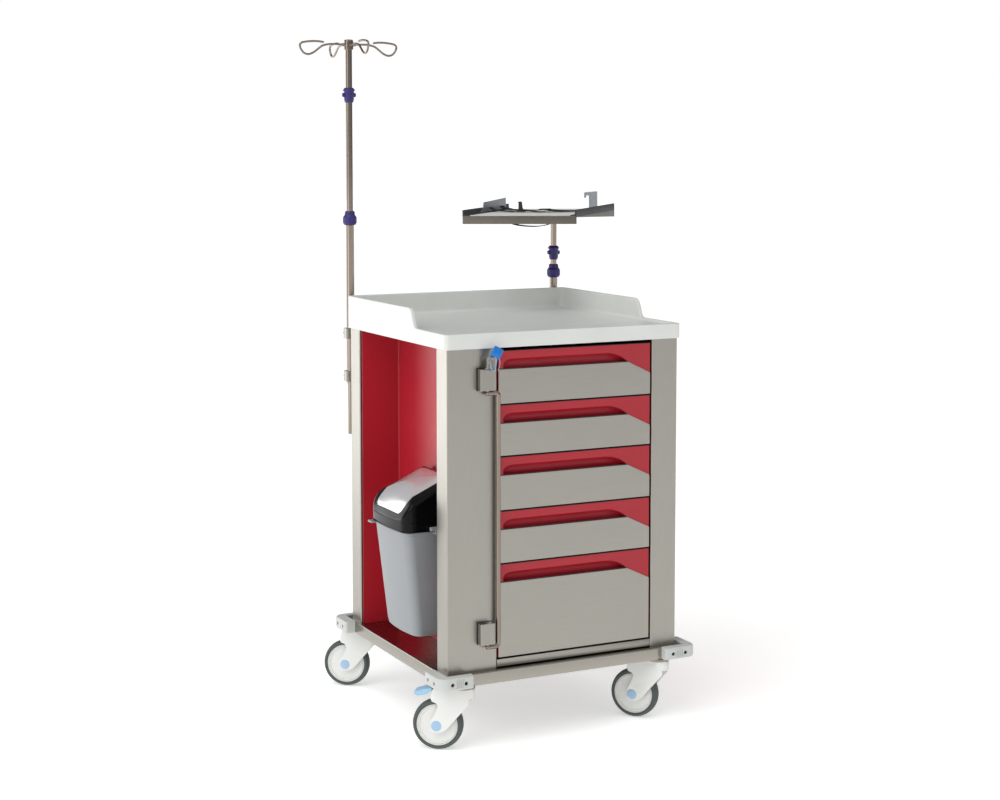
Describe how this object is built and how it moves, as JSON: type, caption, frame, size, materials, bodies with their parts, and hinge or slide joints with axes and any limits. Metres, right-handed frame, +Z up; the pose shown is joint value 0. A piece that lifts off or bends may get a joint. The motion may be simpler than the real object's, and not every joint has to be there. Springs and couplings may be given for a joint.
{
  "type": "emergency trolley",
  "caption": "Steel hospital emergency trolley with drawers, side bay with waste bin, worktop, infusion mast, rotating monitor tray and braked castors.",
  "frame": {"origin": "on the floor, under the centre of the trolley's whole box", "axes": "+X to the trolley's right, +Y from the drawer fronts to the back, +Z up"},
  "size_m": [0.9622, 0.9238, 1.741],
  "materials": {
    "satin_steel": "fine brushed, satin",
    "polished_steel": "polished tube",
    "red_panel": "semi-matt red",
    "worktop_plastic": "moulded, semi-matt off-white",
    "bumper_plastic": "moulded light grey",
    "castor_plastic": "moulded white, semi-gloss",
    "tyre_rubber": "matt dark grey tread",
    "pedal_plastic": "moulded light blue",
    "collar_plastic": "moulded deep violet blue",
    "bin_plastic": "satin grey",
    "lid_plastic": "gloss black",
    "flap_plastic": "gloss silver",
    "seal_plastic": "translucent blue",
    "webbing": "woven black webbing"
  },
  "bodies": {
    "trolley": {"back_panel": "satin_steel", "base_frame": "satin_steel", "bay_panel": "red_panel", "bin_bracket": "satin_steel", "bumper_front_left": "bumper_plastic", "bumper_front_right": "bumper_plastic", "bumper_rear_left": "bumper_plastic", "bumper_rear_right": "bumper_plastic", "column_front_left": "satin_steel", "column_front_right": "satin_steel", "column_rear_left": "satin_steel", "column_rear_right": "satin_steel", "drawer_rack_left": "satin_steel", "drawer_rack_right": "satin_steel", "iv_outer_tube": "polished_steel", "lock_bracket_bottom": "satin_steel", "lock_bracket_top": "satin_steel", "lock_seal": "seal_plastic", "monitor_outer_tube": "polished_steel", "plinth_rail": "satin_steel", "right_side_panel": "red_panel", "worktop": "worktop_plastic"},
    "castor_front_left": {"fork_front_left": "castor_plastic"},
    "castor_wheel_front_left": {"wheel_front_left": "castor_plastic", "tyre_front_left": "tyre_rubber"},
    "brake_front_left": {"brake_pedal_front_left": "pedal_plastic"},
    "castor_front_right": {"fork_front_right": "castor_plastic"},
    "castor_wheel_front_right": {"wheel_front_right": "castor_plastic", "tyre_front_right": "tyre_rubber"},
    "brake_front_right": {"brake_pedal_front_right": "pedal_plastic"},
    "castor_rear_left": {"fork_rear_left": "castor_plastic"},
    "castor_wheel_rear_left": {"wheel_rear_left": "castor_plastic", "tyre_rear_left": "tyre_rubber"},
    "castor_rear_right": {"fork_rear_right": "castor_plastic"},
    "castor_wheel_rear_right": {"wheel_rear_right": "castor_plastic", "tyre_rear_right": "tyre_rubber"},
    "drawer_1": {"drawer_box_1": "satin_steel", "drawer_front_1": "red_panel"},
    "drawer_2": {"drawer_box_2": "satin_steel", "drawer_front_2": "red_panel"},
    "drawer_3": {"drawer_box_3": "satin_steel", "drawer_front_3": "red_panel"},
    "drawer_4": {"drawer_box_4": "satin_steel", "drawer_front_4": "red_panel"},
    "drawer_5": {"drawer_box_5": "satin_steel", "drawer_front_5": "red_panel"},
    "lock_bar": {"lock_bar": "polished_steel"},
    "iv_mast": {"iv_inner_tube": "polished_steel", "iv_hook_head": "polished_steel", "iv_stop_collar": "collar_plastic"},
    "iv_clamp": {"iv_lock_collar": "collar_plastic"},
    "monitor_mast": {"monitor_inner_tube": "polished_steel", "monitor_stop_collar": "collar_plastic"},
    "monitor_clamp": {"monitor_lock_collar": "collar_plastic"},
    "monitor_tray": {"monitor_tray": "satin_steel", "tray_strap": "webbing"},
    "bin": {"bin_bucket": "bin_plastic"},
    "bin_lid": {"bin_lid": "lid_plastic"},
    "bin_flap": {"bin_flap": "flap_plastic"}
  },
  "joints": [
    {"name": "castor_swivel_front_left", "type": "hinge", "parent": "trolley", "child": "castor_front_left", "pos_m": [-0.30786, -0.41193, 0.16], "axis": [0, 0, 1], "continuous": true},
    {"name": "wheel_spin_front_left", "type": "hinge", "parent": "castor_front_left", "child": "castor_wheel_front_left", "pos_m": [-0.35738, -0.37462, 0.0625], "axis": [-0.6018, -0.7986, 0], "continuous": true},
    {"name": "brake_pedal_front_left", "type": "hinge", "parent": "castor_front_left", "child": "brake_front_left", "pos_m": [-0.36696, -0.3674, 0.151], "axis": [-0.6018, -0.7986, 0], "range_deg": [-10, 6]},
    {"name": "castor_swivel_front_right", "type": "hinge", "parent": "trolley", "child": "castor_front_right", "pos_m": [0.24214, -0.41193, 0.16], "axis": [0, 0, 1], "continuous": true},
    {"name": "wheel_spin_front_right", "type": "hinge", "parent": "castor_front_right", "child": "castor_wheel_front_right", "pos_m": [0.20312, -0.36375, 0.0625], "axis": [-0.7771, -0.6293, 0], "continuous": true},
    {"name": "brake_pedal_front_right", "type": "hinge", "parent": "castor_front_right", "child": "brake_front_right", "pos_m": [0.19557, -0.35442, 0.151], "axis": [-0.7771, -0.6293, 0], "range_deg": [-10, 6]},
    {"name": "castor_swivel_rear_left", "type": "hinge", "parent": "trolley", "child": "castor_rear_left", "pos_m": [-0.30786, 0.18407, 0.16], "axis": [0, 0, 1], "continuous": true},
    {"name": "wheel_spin_rear_left", "type": "hinge", "parent": "castor_rear_left", "child": "castor_wheel_rear_left", "pos_m": [-0.35738, 0.22138, 0.0625], "axis": [-0.6018, -0.7986, 0], "continuous": true},
    {"name": "castor_swivel_rear_right", "type": "hinge", "parent": "trolley", "child": "castor_rear_right", "pos_m": [0.24214, 0.18407, 0.16], "axis": [0, 0, 1], "continuous": true},
    {"name": "wheel_spin_rear_right", "type": "hinge", "parent": "castor_rear_right", "child": "castor_wheel_rear_right", "pos_m": [0.19754, 0.22714, 0.0625], "axis": [-0.6947, -0.7193, 0], "continuous": true},
    {"name": "drawer_slide_1", "type": "slide", "parent": "trolley", "child": "drawer_1", "axis": [0, -1, 0], "range_m": [0, 0.4]},
    {"name": "drawer_slide_2", "type": "slide", "parent": "trolley", "child": "drawer_2", "axis": [0, -1, 0], "range_m": [0, 0.4]},
    {"name": "drawer_slide_3", "type": "slide", "parent": "trolley", "child": "drawer_3", "axis": [0, -1, 0], "range_m": [0, 0.4]},
    {"name": "drawer_slide_4", "type": "slide", "parent": "trolley", "child": "drawer_4", "axis": [0, -1, 0], "range_m": [0, 0.4]},
    {"name": "drawer_slide_5", "type": "slide", "parent": "trolley", "child": "drawer_5", "axis": [0, -1, 0], "range_m": [0, 0.4]},
    {"name": "lock_bar_hinge", "type": "hinge", "parent": "trolley", "child": "lock_bar", "pos_m": [-0.25186, -0.43243, 0.56], "axis": [0, 0, -1], "range_deg": [0, 140]},
    {"name": "iv_mast_slide", "type": "slide", "parent": "trolley", "child": "iv_mast", "axis": [0, 0, 1], "range_m": [-0.28, 0.3]},
    {"name": "iv_clamp_twist", "type": "hinge", "parent": "trolley", "child": "iv_clamp", "pos_m": [-0.34086, 0.22207, 1.268], "axis": [0, 0, 1], "range_deg": [0, 90]},
    {"name": "monitor_mast_slide", "type": "slide", "parent": "trolley", "child": "monitor_mast", "axis": [0, 0, 1], "range_m": [-0.01, 0.2]},
    {"name": "monitor_clamp_twist", "type": "hinge", "parent": "trolley", "child": "monitor_clamp", "pos_m": [0.27514, 0.22207, 1.109], "axis": [0, 0, 1], "range_deg": [0, 90]},
    {"name": "monitor_tray_swivel", "type": "hinge", "parent": "monitor_mast", "child": "monitor_tray", "pos_m": [0.27514, 0.22207, 1.254], "axis": [0, 0, 1], "continuous": true},
    {"name": "bin_lift_off", "type": "slide", "parent": "trolley", "child": "bin", "axis": [0, 0, 1], "range_m": [0, 0.045]},
    {"name": "bin_lid_lift_off", "type": "slide", "parent": "bin", "child": "bin_lid", "axis": [0, 0, 1], "range_m": [0, 0.1]},
    {"name": "bin_flap_swing", "type": "hinge", "parent": "bin_lid", "child": "bin_flap", "pos_m": [-0.34486, -0.18493, 0.606], "axis": [0, 1, 0], "range_deg": [-30, 30]}
  ]
}
